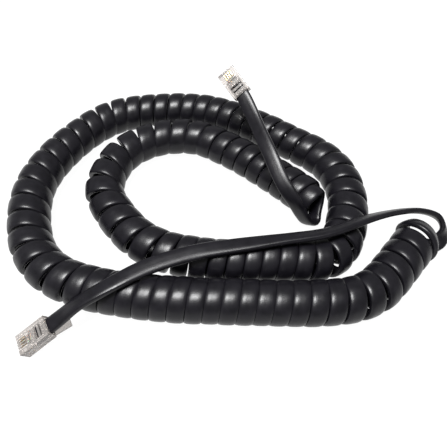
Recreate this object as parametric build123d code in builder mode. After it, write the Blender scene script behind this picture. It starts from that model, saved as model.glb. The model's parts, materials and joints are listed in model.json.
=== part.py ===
"""Curly telephone-style lead: a flat four-core cord, coiled for most of its length and
laid down in two nested loops, with a clear four-contact modular plug on each end.

Millimetres, +Z up. The origin is under the middle of the lead's box, on the surface
that the coil lies on. Each plug is modelled in its own frame: X runs from the rear face
to the nose, Y across the width, and Z from the latch side to the contact side.
"""
from build123d import *
from math import cos, pi, radians, sin, tan
import os

os.makedirs("parts", exist_ok=True)

# ---- the cord ---------------------------------------------------------------------
CORD_WIDTH = 5.9            # flat cord, across its four cores; the tube's diameter
CORD_THICKNESS = 2.3
COIL_OD = 16.0
COIL_AXIS_HEIGHT = COIL_OD / 2
RUN_SHARE = 0.45            # how much of the shorter run each bend may use

# The coil's axis, from its outer end to its inner end.
COIL_ROUTE = [
    (72.4, -22.5), (61.4, -35.0), (49.4, -46.5), (32.4, -49.3), (5.4, -48.5),
    (-25.6, -47.5), (-56.6, -42.0), (-72.1, -31.0), (-80.1, -12.0), (-82.6, 9.0),
    (-73.6, 32.5), (-58.1, 51.5), (-39.6, 57.0), (-15.1, 58.5), (5.9, 50.0),
    (31.9, 31.5), (46.4, 19.0), (50.9, 0.0), (45.4, -20.5), (37.9, -32.0),
    (18.4, -31.5), (-8.6, -31.9), (-31.6, -26.0), (-47.1, -8.5), (-53.6, 5.0),
    (-48.6, 25.5), (-34.1, 36.0), (-17.6, 37.5), (-7.1, 33.5), (15.0, 17.4),
    (33.2, -4.4),
]

# The two straight tails, from the end of the coil to the first bend at the plug. Where
# they pass over the coil they clear it by the cord's width or more; tail b arches up and
# holds its plug in the air.
OVER_COIL = COIL_OD + 1.5 * CORD_WIDTH
TAIL_A_ROUTE = [
    (76.4, -25.5, 3.0), (83.4, -25.0, 3.0), (87.25, -19.5, 5.0), (85.9, -12.5, 8.5),
    (78.9, -9.0, 13.0), (67.4, -11.0, 19.0), (52.4, -17.5, OVER_COIL),
    (33.4, -26.0, OVER_COIL), (13.4, -30.0, OVER_COIL), (-8.6, -33.0, OVER_COIL),
    (-27.1, -40.0, OVER_COIL), (-39.1, -48.0, 23.0), (-48.1, -53.0, 16.5),
]
TAIL_B_ROUTE = [
    (34.7, -3.1, 4.0), (38.6, -7.6, 3.2), (36.9, -13.8, 3.2), (30.6, -16.2, 4.8),
    (25.4, -14.2, 11.0), (22.2, -12.2, 20.0), (19.4, -9.0, 28.5), (16.6, -3.2, 34.2),
    (13.8, 4.6, 36.4), (11.9, 15.6, 34.2),
]

# ---- the plugs --------------------------------------------------------------------
PLUG_LENGTH = 11.7
PLUG_WIDTH = 7.65
PLUG_HEIGHT = 4.4
EDGE_ROUND = 0.3
NOSE_CHAMFER = 0.5
CORD_LEVEL = 2.2            # height of the cord's middle above the latch side

CAVITY_WIDTH = 6.2
CAVITY_HEIGHT = 2.6
CAVITY_DEPTH = 7.2
JACKET_DEPTH = 5.7          # how far the jacket goes in before it is stripped

CORES = 4
CORE_PITCH = 1.02
CORE_DIAMETER = 0.9
CHANNEL_DIAMETER = 1.0
CORE_END = 10.8

JACKET_WINDOW = (1.9, 4.5, 5.0)      # start, end along the plug, and width
JACKET_BAR = (2.7, 3.6, 4.8)
WIRE_WINDOW = (5.9, 7.0, 4.6)
WIRE_BAR = (6.05, 6.85, 4.4)
BAR_RECESS = 0.35           # a pressed bar's top below the contact side

BLADE_THICKNESS = 0.3
BLADE_START = 8.1
BLADE_END = 10.7
BLADE_TOP = 4.15
BLADE_BITE = 0.45           # how deep a blade's teeth go into the core
SLOT_WIDTH = 0.4
SLOT_SHELF = 3.2            # a slot is open to the nose above this height

# Latch: a lever hinged under the nose, sprung away from the plug's underside.
LATCH_WIDTH = 3.3
LATCH_TAB_WIDTH = 2.9
LATCH_THICKNESS = 0.7
LATCH_REST = 13.0           # degrees from the plug's underside
LATCH_LENGTH = 14.6
LATCH_STEP = (6.4, 7.6, 0.6)        # start, end and height of the locking step
HINGE_X = 10.4
HINGE_Z = -0.5
KNUCKLE_RADIUS = 0.4
HINGE_CLEARANCE = 0.08
NOSE_BAR_DROP = 0.95        # the bar under the nose that holds the hinge

# Where the plugs lie: middle of the rear face, then turn about Z, rise and roll.
PLUG_A_REAR = (-59.5, -56.9, 7.5)
PLUG_A_AIM = (-150.0, -24.0, 0.0)
PLUG_B_REAR = (6.2, 32.2, 34.6)
PLUG_B_AIM = (130.0, 25.0, -38.0)
PLUG_LEAD_OUT = (5.5, 8.0)  # straight length of cord behind plug a and plug b


def plug_plane(rear, aim):
    """Frame of a plug: origin on its rear face at the cord's level, X to the nose."""
    turn, rise, roll = aim
    return Plane(Location(rear) * Location((0, 0, 0), (0, 0, turn))
                 * Location((0, 0, 0), (0, -rise, 0)) * Location((0, 0, 0), (roll, 0, 0)))


def corner_radii(points):
    """Largest tangent arc that each corner's two runs leave room for."""
    radii = []
    for before, corner, after in zip(points, points[1:], points[2:]):
        run_in = corner - before
        run_out = after - corner
        half_turn = radians(run_in.get_angle(run_out)) / 2
        radii.append(RUN_SHARE * min(run_in.length, run_out.length) / tan(half_turn))
    return radii


def tube(name, points, diameter):
    """Round tube along straight runs joined by tangent arcs."""
    points = [Vector(*point) for point in points]
    radii = corner_radii(points)
    with BuildLine() as path:
        FilletPolyline(*points, radius=radii)
    line = path.wire()
    with BuildPart() as body:
        with BuildSketch(Plane(origin=line @ 0, z_dir=line % 0)):
            Circle(diameter / 2)
        sweep(path=line)
    section_volume = pi * diameter**2 / 4 * line.length
    print(f"{name}: length {line.length:.1f}, radii {[round(r, 1) for r in radii]}")
    print(f"   volume {body.part.volume:.1f}, section x length {section_volume:.1f}")
    return body


def write(name, piece):
    piece.part.label = name
    export_step(piece.part, f"parts/{name}.step")


def side_plane(plug, x=0.0, z=0.0):
    """Sketch plane along a plug's length: X to the nose, Y to the contact side."""
    origin = plug.from_local_coords(Vector(x, 0, z - CORD_LEVEL))
    return Plane(origin=origin, x_dir=plug.x_dir, z_dir=-plug.y_dir)


def cross_plane(plug, x):
    """Sketch plane across a plug: X across the width, Y to the contact side."""
    origin = plug.from_local_coords(Vector(x, 0, -CORD_LEVEL))
    return Plane(origin=origin, x_dir=plug.y_dir, z_dir=plug.x_dir)


def core_offsets():
    return [(index - (CORES - 1) / 2) * CORE_PITCH for index in range(CORES)]


def rectangle_between(x_min, x_max, z_min, z_max):
    """Rectangle in the current sketch, given by its edges."""
    with Locations(((x_min + x_max) / 2, (z_min + z_max) / 2)):
        Rectangle(x_max - x_min, z_max - z_min)


def make_housing(plug):
    """Clear plug body with the cord's cavity, the core channels, slots and windows."""
    with BuildPart() as housing:
        with BuildSketch(side_plane(plug)) as outline:
            rectangle_between(0, PLUG_LENGTH, 0, PLUG_HEIGHT)
            chamfer(outline.vertices().group_by(Axis(plug.origin, plug.x_dir))[-1], NOSE_CHAMFER)
        extrude(amount=PLUG_WIDTH / 2, both=True)
        fillet(housing.edges().filter_by(Axis(plug.origin, plug.x_dir)), EDGE_ROUND)
        with BuildSketch(side_plane(plug)):
            rectangle_between(HINGE_X, PLUG_LENGTH - NOSE_CHAMFER, -NOSE_BAR_DROP, EDGE_ROUND)
        extrude(amount=LATCH_WIDTH / 2, both=True)
        with BuildSketch(side_plane(plug, HINGE_X, HINGE_Z)):
            Circle(KNUCKLE_RADIUS + HINGE_CLEARANCE)
        extrude(amount=PLUG_WIDTH / 2, both=True, mode=Mode.SUBTRACT)
        with BuildSketch(cross_plane(plug, 0)):
            with Locations((0, CORD_LEVEL)):
                RectangleRounded(CAVITY_WIDTH, CAVITY_HEIGHT, CAVITY_HEIGHT / 2.2)
        extrude(amount=CAVITY_DEPTH, mode=Mode.SUBTRACT)
        with BuildSketch(cross_plane(plug, CAVITY_DEPTH)):
            with Locations(*[(offset, CORD_LEVEL) for offset in core_offsets()]):
                Circle(CHANNEL_DIAMETER / 2)
        extrude(amount=CORE_END - CAVITY_DEPTH, mode=Mode.SUBTRACT)
        for start, end, width in (JACKET_WINDOW, WIRE_WINDOW):
            with BuildSketch(side_plane(plug)):
                rectangle_between(start, end, CORD_LEVEL, PLUG_HEIGHT)
            extrude(amount=width / 2, both=True, mode=Mode.SUBTRACT)
        for offset in core_offsets():
            slot_side = side_plane(plug).offset(-offset)
            with BuildSketch(slot_side):
                rectangle_between(BLADE_START, BLADE_END, CORD_LEVEL, PLUG_HEIGHT)
                rectangle_between(BLADE_END, PLUG_LENGTH, SLOT_SHELF, PLUG_HEIGHT)
            extrude(amount=SLOT_WIDTH / 2, both=True, mode=Mode.SUBTRACT)
    return housing


def latch_plane(plug):
    """Side plane at the hinge: X runs down the lever to its tab, Y away from the plug."""
    rest = radians(LATCH_REST)
    hinge = side_plane(plug, HINGE_X, HINGE_Z)
    lever_dir = -plug.x_dir * cos(rest) - plug.z_dir * sin(rest)
    return Plane(origin=hinge.origin, x_dir=lever_dir, z_dir=hinge.z_dir)


def make_latch(plug):
    """Lever with a round knuckle, a locking step and a narrower tab for the thumb."""
    lever = latch_plane(plug)
    step_start, step_end, step_height = LATCH_STEP
    half = LATCH_THICKNESS / 2
    with BuildPart() as latch:
        with BuildSketch(lever):
            Circle(KNUCKLE_RADIUS)
            rectangle_between(0, step_end, -half, half)
            with BuildLine():
                Polyline((step_start, half), (step_end, half), (step_end, half + step_height),
                         (step_end - step_height, half + step_height), close=True)
            make_face()
        extrude(amount=LATCH_WIDTH / 2, both=True)
        with BuildSketch(lever):
            rectangle_between(step_end, LATCH_LENGTH, -half, half)
        extrude(amount=LATCH_TAB_WIDTH / 2, both=True)
        tab_end = latch.faces().sort_by(Axis(lever.origin, lever.x_dir))[-1]
        fillet(tab_end.edges().filter_by(lambda e: e.length < 1.5 * LATCH_THICKNESS), half)
    return latch


def make_bar(plug, bar, depth):
    """Strain-relief bar, pressed down through its window onto the cord."""
    start, end, width = bar
    with BuildPart() as relief:
        with BuildSketch(side_plane(plug)):
            rectangle_between(start, end, depth, PLUG_HEIGHT - BAR_RECESS)
        extrude(amount=width / 2, both=True)
    return relief


def make_jacket_end(plug):
    """The flat jacket, from the rear face to where it is stripped off the cores."""
    with BuildPart() as jacket:
        with BuildSketch(cross_plane(plug, 0)):
            with Locations((0, CORD_LEVEL)):
                RectangleRounded(CORD_WIDTH, CORD_THICKNESS, CORD_THICKNESS / 2.2)
        extrude(amount=JACKET_DEPTH)
    return jacket


def blade_sketch():
    """Outline of a contact blade from the side, with two teeth at the bottom."""
    core_top = CORD_LEVEL + CORE_DIAMETER / 2
    tooth = (BLADE_END - BLADE_START) / 4
    rectangle_between(BLADE_START, BLADE_END, core_top, BLADE_TOP)
    for start in (BLADE_START, BLADE_END - tooth):
        rectangle_between(start, start + tooth, core_top - BLADE_BITE, core_top)


def make_blade(plug, offset):
    """Gold contact blade standing in its slot, its teeth in the core below."""
    with BuildPart() as blade:
        with BuildSketch(side_plane(plug).offset(-offset)):
            blade_sketch()
        extrude(amount=BLADE_THICKNESS / 2, both=True)
    return blade


def make_core(plug, offset):
    """Insulated core from the jacket's end to the nose, split where the teeth go in."""
    with BuildPart() as core:
        with BuildSketch(cross_plane(plug, JACKET_DEPTH)):
            with Locations((offset, CORD_LEVEL)):
                Circle(CORE_DIAMETER / 2)
        extrude(amount=CORE_END - JACKET_DEPTH)
        with BuildSketch(side_plane(plug).offset(-offset)):
            blade_sketch()
        extrude(amount=BLADE_THICKNESS / 2, both=True, mode=Mode.SUBTRACT)
    return core


def make_plug(name, plug):
    """Write every piece of one plug."""
    jacket_top = CORD_LEVEL + CORD_THICKNESS / 2
    core_top = CORD_LEVEL + CORE_DIAMETER / 2
    write(f"{name}_housing", make_housing(plug))
    write(f"{name}_latch", make_latch(plug))
    write(f"{name}_jacket_bar", make_bar(plug, JACKET_BAR, jacket_top))
    write(f"{name}_wire_bar", make_bar(plug, WIRE_BAR, core_top))
    write(f"{name}_jacket_end", make_jacket_end(plug))
    for number, offset in enumerate(core_offsets(), start=1):
        write(f"{name}_contact_{number}", make_blade(plug, offset))
        write(f"{name}_core_{number}", make_core(plug, offset))


plug_a = plug_plane(PLUG_A_REAR, PLUG_A_AIM)
plug_b = plug_plane(PLUG_B_REAR, PLUG_B_AIM)
for plug_name, plug_frame in (("plug_a", plug_a), ("plug_b", plug_b)):
    make_plug(plug_name, plug_frame)
    hinge_point = side_plane(plug_frame, HINGE_X, HINGE_Z).origin
    print(plug_name, "hinge", hinge_point, "axis", plug_frame.y_dir, "nose", plug_frame.x_dir)

write("coil", tube("coil", [(x, y, COIL_AXIS_HEIGHT) for x, y in COIL_ROUTE], COIL_OD))
for tail_name, route, plug_frame, lead_out in (
    ("tail_a", TAIL_A_ROUTE, plug_a, PLUG_LEAD_OUT[0]),
    ("tail_b", TAIL_B_ROUTE, plug_b, PLUG_LEAD_OUT[1]),
):
    rear = plug_frame.origin
    points = route + [tuple(rear - plug_frame.x_dir * lead_out), tuple(rear)]
    write(tail_name, tube(tail_name, points, CORD_WIDTH))
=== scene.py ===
"""Looks of the coiled modular lead: the flat cord with its helix, the clear plugs' materials,
a pale floor, soft studio light and the camera. Metres, in the CAD model's frame.
"""

import bpy
import json
import random
from bisect import bisect_right
from math import cos, pi, radians, sin
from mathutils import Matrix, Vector


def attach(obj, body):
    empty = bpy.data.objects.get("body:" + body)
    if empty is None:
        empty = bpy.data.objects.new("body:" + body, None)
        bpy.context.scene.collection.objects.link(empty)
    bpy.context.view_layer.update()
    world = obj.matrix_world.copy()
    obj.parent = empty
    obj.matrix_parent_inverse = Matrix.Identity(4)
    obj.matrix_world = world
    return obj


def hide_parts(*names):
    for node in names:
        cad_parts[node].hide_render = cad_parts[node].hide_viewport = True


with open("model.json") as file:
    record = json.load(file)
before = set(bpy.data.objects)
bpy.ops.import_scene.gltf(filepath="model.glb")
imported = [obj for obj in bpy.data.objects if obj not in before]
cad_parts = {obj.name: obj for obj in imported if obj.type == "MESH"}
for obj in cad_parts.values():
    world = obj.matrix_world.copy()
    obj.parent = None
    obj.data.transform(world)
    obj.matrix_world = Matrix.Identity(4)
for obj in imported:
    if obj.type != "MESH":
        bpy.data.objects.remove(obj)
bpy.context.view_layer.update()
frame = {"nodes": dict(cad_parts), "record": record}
UP = Vector((0, 0, 1))

# ---- the cord -------------------------------------------------------------------------
CORD_WIDTH = 0.0059
RING_WIDTHS = (0.0061, 0.0080)  # least and most width of a turn, which winding has flattened
RING_SHARE = 0.89               # a turn's width in its pitch, where the coil is pulled open
CORD_THICKNESS = 0.0024
PROFILE_POINTS = 24
PROFILE_POWER = 4.2             # 2 is an ellipse, and more is flatter with tighter edges
PROFILE_CROWN = 0.10            # how much thinner the section is at its edges than that
SAMPLE_STEP = 0.0009            # distance between the cord's sections
CORD_STEPS = 10                 # points of the smooth cord to each of its control points

COIL_RADIUS = 0.0068            # to the middle of the cord's thickness
COIL_WOBBLE = 0.00012           # how much the turns differ in radius
WOBBLE_SEED = 11
AXIS_STEPS = 40                 # points of the smooth axis to each of its control points
POINTS_PER_TURN = 16
SPLINE_SHRINK = 0.981           # a spline round 16 points a turn runs inside them by this
COIL_START = radians(270)       # the first turn starts at the bottom, the last ends on top
FIRST_TURN_LEAN = 0.55          # how far the first turn's face leans out, at its top

# The coil's axis in plan, from its outer end to its inner end, and the distance between
# turns along it, as (distance from the outer end, pitch).
COIL_ROUTE = [
    (0.0756, -0.0189), (0.0614, -0.0350), (0.0494, -0.0465), (0.0324, -0.0493),
    (0.0054, -0.0485), (-0.0256, -0.0475), (-0.0566, -0.0420), (-0.0721, -0.0310),
    (-0.0801, -0.0120), (-0.0826, 0.0090), (-0.0736, 0.0325), (-0.0581, 0.0515),
    (-0.0396, 0.0570), (-0.0151, 0.0585), (0.0059, 0.0500), (0.0319, 0.0315),
    (0.0464, 0.0190), (0.0509, 0.0000), (0.0454, -0.0205), (0.0379, -0.0320),
    (0.0184, -0.0315), (-0.0086, -0.0319), (-0.0316, -0.0260), (-0.0471, -0.0085),
    (-0.0536, 0.0050), (-0.0486, 0.0255), (-0.0341, 0.0360), (-0.0176, 0.0375),
    (-0.0071, 0.0335), (0.0150, 0.0174), (0.0352, -0.0030),
]
PITCHES = [
    (0.000, 0.0075), (0.049, 0.0062), (0.064, 0.0058), (0.136, 0.0058), (0.146, 0.0078),
    (0.190, 0.0085), (0.225, 0.0080), (0.246, 0.0077), (0.267, 0.0071), (0.325, 0.0071),
    (0.345, 0.0073), (0.404, 0.0080), (0.425, 0.0062), (0.473, 0.0062), (0.488, 0.0080),
    (0.530, 0.0098), (0.548, 0.0100), (0.560, 0.0084), (0.590, 0.0080), (0.603, 0.0073),
    (0.645, 0.0064),
]

# The straight tail from plug a to the coil. With each point goes the cord's roll in
# degrees: 0 lies flat, and a positive roll turns its upper face to the left of the way on.
TAIL_A = [
    ((-0.0640, -0.0595, 0.0052), 0), ((-0.0595, -0.0569, 0.0075), 0),
    ((-0.0551, -0.0544, 0.0098), 4), ((-0.0490, -0.0516, 0.0142), 14),
    ((-0.0400, -0.0478, 0.0176), 10), ((-0.0280, -0.0402, 0.0178), -4),
    ((-0.0120, -0.0342, 0.0175), -6), ((0.0040, -0.0314, 0.0175), 5),
    ((0.0200, -0.0289, 0.0178), 26), ((0.0360, -0.0270, 0.0184), 34),
    ((0.0495, -0.0205, 0.0180), 36), ((0.0620, -0.0145, 0.0145), 46),
    ((0.0740, -0.0108, 0.0118), 52), ((0.0830, -0.0114, 0.0098), 50),
    ((0.0860, -0.0155, 0.0070), 45), ((0.0848, -0.0196, 0.0034), 20),
    ((0.0812, -0.0216, 0.0016), 5),
]

# The straight tail from the coil's last turn to plug b. With each point goes the
# direction that the cord's inner face looks in.
TAIL_B = [
    ((0.0376, -0.0005, 0.0125), (-0.62, -0.50, -0.40)),
    ((0.0370, -0.0033, 0.0078), (-0.74, -0.55, 0.33)),
    ((0.0360, -0.0075, 0.0046), (-0.68, 0.12, 0.72)),
    ((0.0352, -0.0106, 0.0036), (-0.10, 0.50, 0.86)),
    ((0.0324, -0.0122, 0.0050), (0.25, 0.82, 0.50)),
    ((0.0295, -0.0113, 0.0090), (0.42, 0.90, 0.15)),
    ((0.0269, -0.0099, 0.0135), (0.48, 0.85, -0.15)),
    ((0.0245, -0.0081, 0.0168), (0.48, 0.68, -0.55)),
    ((0.0217, -0.0048, 0.0196), (0.40, 0.48, -0.78)),
    ((0.0193, 0.0000, 0.0222), (0.40, 0.44, -0.80)),
    ((0.0173, 0.0050, 0.0246), (0.42, 0.44, -0.79)),
    ((0.0153, 0.0100, 0.0263), (0.44, 0.46, -0.76)),
    ((0.0132, 0.0160, 0.0276), (0.48, 0.52, -0.70)),
    ((0.0112, 0.0220, 0.0290), (0.48, 0.58, -0.66)),
    ((0.0088, 0.0275, 0.0317), (0.40, 0.62, -0.66)),
    ((0.0062, 0.0322, 0.0346), (0.34, 0.65, -0.68)),
    ((0.0029, 0.0362, 0.0370), (0.34, 0.65, -0.68)),
]

# ---- the view and the light -----------------------------------------------------------
CAMERA_AT = (-0.001735, -0.108136, 0.131987)
CAMERA_TILT = radians(37)
CAMERA_LENS = 31.56
FLOOR_SIZE = 4.0
FLOOR_DROP = 0.0001             # how far the floor lies under the lead
FLOOR_GLOW = 0.98
LIGHT_AT = (-0.10, -0.10, 0.49)
LIGHT_SIZE = 0.2
LIGHT_POWER = 7.2
SKY_STRENGTH = 0.36

NOISE_SPAN = (0.3, 0.7)         # the part of a noise that its colours and roughness use
JACKET_LINES = 0.25             # how much of the jacket's relief is lines along it


def smooth_line(name, points, steps):
    """Points along the NURBS spline that has these control points, steps to each of them."""
    curve = bpy.data.curves.new(name, "CURVE")
    curve.dimensions = "3D"
    spline = curve.splines.new("NURBS")
    spline.points.add(len(points) - 1)
    for control, point in zip(spline.points, points):
        control.co = (*point, 1)
    spline.order_u = 3
    spline.use_endpoint_u = True
    spline.resolution_u = steps
    curve.resolution_u = steps
    holder = bpy.data.objects.new(name, curve)
    mesh = bpy.data.meshes.new_from_object(holder)
    line = [vertex.co.copy() for vertex in mesh.vertices]
    bpy.data.objects.remove(holder)
    bpy.data.curves.remove(curve)
    bpy.data.meshes.remove(mesh)
    return line


def value_at(table, place):
    """Value at a place in a table of (place, value) pairs, straight between them."""
    after = min(max(bisect_right(table, (place,)), 1), len(table) - 1)
    (start, low), (end, high) = table[after - 1], table[after]
    share = min(max((place - start) / (end - start), 0), 1)
    return low + (high - low) * share


def coil_points(route):
    """Points round the coil's axis, each with the way to the axis and the cord's width."""
    axis = smooth_line("coil_axis", [(x, y, 0) for x, y in route], AXIS_STEPS)
    distances, turns = [0], [0]
    for here, ahead in zip(axis, axis[1:]):
        run = (ahead - here).length
        distances.append(distances[-1] + run)
        turns.append(turns[-1] + run / value_at(PITCHES, distances[-1]))
    whole = round(turns[-1] - 0.5)
    stretch = turns[-1] / (whole + 0.5)
    jitter = random.Random(WOBBLE_SEED)
    wobble = [(turn, jitter.uniform(-1, 1)) for turn in range(whole + 2)]
    points = []
    for step in range(whole * POINTS_PER_TURN + POINTS_PER_TURN // 2 + 1):
        turn = step / POINTS_PER_TURN
        index = min(bisect_right(turns, turn * stretch), len(axis) - 1)
        share = (turn * stretch - turns[index - 1]) / (turns[index] - turns[index - 1])
        way = (axis[index] - axis[index - 1]).normalized()
        left = Vector((-way.y, way.x, 0))
        angle = COIL_START - 2 * pi * turn
        outward = left * cos(angle) + UP * sin(angle)
        radius = COIL_RADIUS + COIL_WOBBLE * value_at(wobble, turn)
        centre = axis[index - 1].lerp(axis[index], share) + UP * (radius + CORD_THICKNESS / 2)
        wide = RING_SHARE * value_at(PITCHES, distances[index])
        width = min(max(wide, RING_WIDTHS[0]), RING_WIDTHS[1])
        lean = way * FIRST_TURN_LEAN * sin(pi * min(turn, 1))
        points.append((centre + outward * radius / SPLINE_SHRINK, lean - outward, width))
    return points


def cord_points():
    """The whole cord's control points, each with its face's direction and its width."""
    places = [Vector(place) for place, roll in TAIL_A]
    tail_a = []
    for index, (place, roll) in enumerate(TAIL_A):
        way = places[min(index + 1, len(places) - 1)] - places[max(index - 1, 0)]
        left = UP.cross(way).normalized()
        face = UP * cos(radians(roll)) + left * sin(radians(roll))
        tail_a.append((Vector(place), face, CORD_WIDTH))
    tail_b = [(Vector(place), Vector(face).normalized(), CORD_WIDTH) for place, face in TAIL_B]
    return tail_a + coil_points(COIL_ROUTE) + tail_b


def spread_along(count, values):
    """The control points' values at evenly spaced parameters of the spline they belong to."""
    spans = len(values) - 2
    found = []
    for number in range(count):
        here = spans * number / (count - 1)
        left = spans - here
        index = min(2 * here, here + 0.5) if here < left else spans + 1 - min(2 * left, left + 0.5)
        before = min(int(index), spans)
        share = index - before
        found.append(values[before] * (1 - share) + values[before + 1] * share)
    return found


def thinned(line, *others):
    """Only the places at least a sample's step past the last one kept, from every list."""
    kept = [0]
    for index, place in enumerate(line):
        if (place - line[kept[-1]]).length >= SAMPLE_STEP:
            kept.append(index)
    kept[-1] = len(line) - 1
    return [[values[index] for index in kept] for values in (line, *others)]


def flat_profile():
    """The flat cord's section: crowned faces and round edges, across it in half widths."""
    profile = []
    for number in range(PROFILE_POINTS):
        angle = 2 * pi * number / PROFILE_POINTS
        across, through = cos(angle), sin(angle)
        size = (abs(across) ** PROFILE_POWER + abs(through) ** PROFILE_POWER) ** (1 / PROFILE_POWER)
        across, through = across / size, through / size * (1 - PROFILE_CROWN * (across / size) ** 2)
        profile.append((across, through * CORD_THICKNESS / 2))
    return profile


def swept_band(name, line, faces, widths, profile):
    """Closed mesh of a section swept along a line, its upper side turned to the faces."""
    ring = len(profile)
    vertices = []
    distances = [0]
    for index, place in enumerate(line):
        way = line[min(index + 1, len(line) - 1)] - line[max(index - 1, 0)]
        side = way.cross(faces[index]).normalized()
        upper = side.cross(way).normalized()
        half = widths[index] / 2
        vertices += [place + side * across * half + upper * through for across, through in profile]
        if index:
            distances.append(distances[-1] + (place - line[index - 1]).length)
    quads = []
    for row in range(len(line) - 1):
        for column in range(ring):
            beside = (column + 1) % ring
            quads.append((row * ring + column, row * ring + beside,
                          (row + 1) * ring + beside, (row + 1) * ring + column))
    last = (len(line) - 1) * ring
    ends = [tuple(reversed(range(ring))), tuple(range(last, last + ring))]
    mesh = bpy.data.meshes.new(name)
    mesh.from_pydata(vertices, [], quads + ends)
    mesh.polygons.foreach_set("use_smooth", [True] * len(quads) + [False] * 2)
    layout = mesh.uv_layers.new(name="along_cord")
    coordinates = []
    for row in range(len(line) - 1):
        for column in range(ring):
            near, far = column / ring, (column + 1) / ring
            low, high = distances[row] / CORD_WIDTH, distances[row + 1] / CORD_WIDTH
            coordinates += [near, low, far, low, far, high, near, high]
    coordinates += [0] * (4 * ring)
    layout.data.foreach_set("uv", coordinates)
    mesh.update()
    band = bpy.data.objects.new(name, mesh)
    bpy.context.scene.collection.objects.link(band)
    return band


def link(tree, source, target):
    tree.links.new(source, target)


def node(tree, kind, **values):
    """New shader node, with the inputs that are named set."""
    made = tree.nodes.new(kind)
    for socket, value in values.items():
        made.inputs[socket].default_value = value
    return made


def shader(name, color, roughness, **values):
    """New material and its surface shader."""
    made = bpy.data.materials.new(name)
    made.use_nodes = True
    surface = made.node_tree.nodes["Principled BSDF"]
    surface.inputs["Base Color"].default_value = (*color, 1)
    surface.inputs["Roughness"].default_value = roughness
    for socket, value in values.items():
        surface.inputs[socket.replace("_", " ")].default_value = value
    made.diffuse_color = (*color, 1)
    return made, made.node_tree, surface


def mottled(tree, surface, scale, dark, light, low, high):
    """Colour and roughness that vary a little over the surface, from one noise."""
    place = tree.nodes.new("ShaderNodeTexCoord")
    noise = node(tree, "ShaderNodeTexNoise", Scale=scale, Detail=4.0, Roughness=0.6)
    link(tree, place.outputs["Object"], noise.inputs["Vector"])
    ramp = tree.nodes.new("ShaderNodeValToRGB")
    ramp.color_ramp.elements[0].position = NOISE_SPAN[0]
    ramp.color_ramp.elements[0].color = (*dark, 1)
    ramp.color_ramp.elements[1].position = NOISE_SPAN[1]
    ramp.color_ramp.elements[1].color = (*light, 1)
    link(tree, noise.outputs["Fac"], ramp.inputs["Fac"])
    link(tree, ramp.outputs["Color"], surface.inputs["Base Color"])
    spread = tree.nodes.new("ShaderNodeMapRange")
    for socket, value in zip(("From Min", "From Max", "To Min", "To Max"), (*NOISE_SPAN, low, high)):
        spread.inputs[socket].default_value = value
    link(tree, noise.outputs["Fac"], spread.inputs["Value"])
    link(tree, spread.outputs["Result"], surface.inputs["Roughness"])
    return place


def grain(tree, surface, place, scale, depth, height=None):
    """Fine bumps of a moulded surface, added to a height if one is given."""
    noise = node(tree, "ShaderNodeTexNoise", Scale=scale, Detail=3.0, Roughness=0.7)
    link(tree, place.outputs["Object"], noise.inputs["Vector"])
    bump = node(tree, "ShaderNodeBump", Strength=1.0, Distance=depth)
    source = noise.outputs["Fac"]
    if height is not None:
        total = tree.nodes.new("ShaderNodeMath")
        total.operation = "ADD"
        link(tree, source, total.inputs[0])
        link(tree, height, total.inputs[1])
        source = total.outputs["Value"]
    link(tree, source, bump.inputs["Height"])
    link(tree, bump.outputs["Normal"], surface.inputs["Normal"])


def jacket_material():
    """Black PVC jacket: satin, a little mottled, with faint lines along its length."""
    made, tree, surface = shader("cord_jacket", (0.0035, 0.0032, 0.0046), 0.33,
                                 Specular_IOR_Level=0.26)
    place = mottled(tree, surface, 260, (0.0024, 0.0022, 0.0032), (0.0046, 0.0042, 0.006), 0.3, 0.38)
    along = tree.nodes.new("ShaderNodeUVMap")
    along.uv_map = "along_cord"
    wave = node(tree, "ShaderNodeTexWave", Scale=3.2, Distortion=0.4)
    wave.bands_direction = "X"
    link(tree, along.outputs["UV"], wave.inputs["Vector"])
    faint = tree.nodes.new("ShaderNodeMath")
    faint.operation = "MULTIPLY"
    faint.inputs[1].default_value = JACKET_LINES
    link(tree, wave.outputs["Fac"], faint.inputs[0])
    grain(tree, surface, place, 2600, 0.00003, faint.outputs["Value"])
    return made


def clear_material():
    """Clear moulded polycarbonate with a warm grey tint and faint flow marks."""
    made, tree, surface = shader("plug_clear", (0.62, 0.585, 0.56), 0.12, IOR=1.5,
                                 Transmission_Weight=0.82)
    place = mottled(tree, surface, 180, (0.58, 0.545, 0.52), (0.66, 0.625, 0.6), 0.1, 0.16)
    grain(tree, surface, place, 420, 0.000006)
    return made


def gold_material():
    """Gold-plated blades with fine rolling marks."""
    made, tree, surface = shader("contact_gold", (0.83, 0.6, 0.24), 0.25, Metallic=1.0)
    place = mottled(tree, surface, 900, (0.74, 0.5, 0.18), (0.88, 0.67, 0.3), 0.2, 0.34)
    grain(tree, surface, place, 5200, 0.00001)
    return made


def core_material(name, color):
    """Coloured insulation of one core."""
    made, tree, surface = shader(name, color, 0.35)
    dark, light = [part * 0.82 for part in color], [min(part * 1.15, 1) for part in color]
    place = mottled(tree, surface, 700, dark, light, 0.3, 0.42)
    grain(tree, surface, place, 3600, 0.00001)
    return made


def floor_material():
    """Near-white studio floor that glows enough to drown the shadows."""
    made, tree, surface = shader("studio_floor", (0.04, 0.04, 0.04), 0.8,
                                 Emission_Color=(1, 1, 1, 1), Emission_Strength=FLOOR_GLOW)
    place = mottled(tree, surface, 6, (0.038, 0.038, 0.038), (0.042, 0.042, 0.042), 0.78, 0.86)
    grain(tree, surface, place, 900, 0.00002)
    return made


# ---- camera and cord ------------------------------------------------------------------
camera_data = bpy.data.cameras.new("camera")
camera_data.lens = CAMERA_LENS
camera_data.clip_start = 0.01
camera = bpy.data.objects.new("camera", camera_data)
camera.location = CAMERA_AT
camera.rotation_euler = (CAMERA_TILT, 0, 0)
bpy.context.scene.collection.objects.link(camera)
bpy.context.scene.camera = camera

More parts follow.
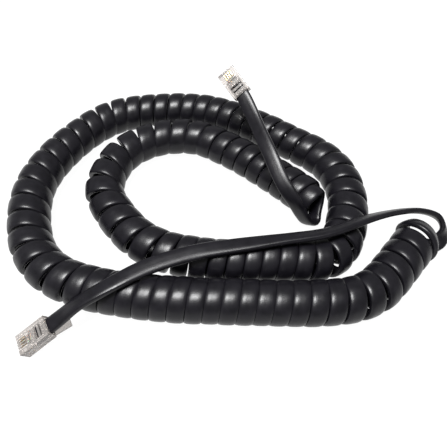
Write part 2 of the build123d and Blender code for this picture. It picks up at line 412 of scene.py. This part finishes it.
controls = cord_points()
control_places, control_faces, control_widths = zip(*controls)
full_line = smooth_line("cord_line", control_places, CORD_STEPS)
full_faces = spread_along(len(full_line), control_faces)
full_widths = spread_along(len(full_line), control_widths)
line, faces, widths = thinned(full_line, full_faces, full_widths)
cord = swept_band("flat_cord", line, faces, widths, flat_profile())
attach(cord, "lead")
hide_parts("coil", "tail_a", "tail_b", "plug_a_jacket_end", "plug_b_jacket_end")

# ---- materials ------------------------------------------------------------------------
finishes = {
    "cord_jacket": jacket_material(),
    "plug_clear": clear_material(),
    "contact_gold": gold_material(),
    "core_black": core_material("core_black", (0.02, 0.02, 0.022)),
    "core_green": core_material("core_green", (0.16, 0.38, 0.22)),
    "core_yellow": core_material("core_yellow", (0.78, 0.6, 0.26)),
    "core_red": core_material("core_red", (0.66, 0.24, 0.13)),
}
cord.data.materials.append(finishes["cord_jacket"])
slots = {part["node"]: part["material_slot"] for part in frame["record"]["subparts"]}
for name, piece in frame["nodes"].items():
    piece.data.materials.clear()
    piece.data.materials.append(finishes[slots[name]])

# ---- floor and light ------------------------------------------------------------------
half = FLOOR_SIZE / 2
floor_mesh = bpy.data.meshes.new("floor")
floor_mesh.from_pydata([(-half, -half, 0), (half, -half, 0), (half, half, 0), (-half, half, 0)],
                       [], [(0, 1, 2, 3)])
floor_mesh.materials.append(floor_material())
floor = bpy.data.objects.new("floor", floor_mesh)
floor.location.z = -FLOOR_DROP
bpy.context.scene.collection.objects.link(floor)

light_data = bpy.data.lights.new("softbox", "AREA")
light_data.shape = "DISK"
light_data.size = LIGHT_SIZE
light_data.energy = LIGHT_POWER
softbox = bpy.data.objects.new("softbox", light_data)
softbox.location = LIGHT_AT
softbox.rotation_euler = Vector(LIGHT_AT).to_track_quat("Z", "Y").to_euler()
bpy.context.scene.collection.objects.link(softbox)

world = bpy.data.worlds.new("studio")
world.use_nodes = True
background = world.node_tree.nodes["Background"]
background.inputs["Color"].default_value = (1, 1, 1, 1)
background.inputs["Strength"].default_value = SKY_STRENGTH
bpy.context.scene.world = world
bpy.context.scene.view_settings.view_transform = "Standard"
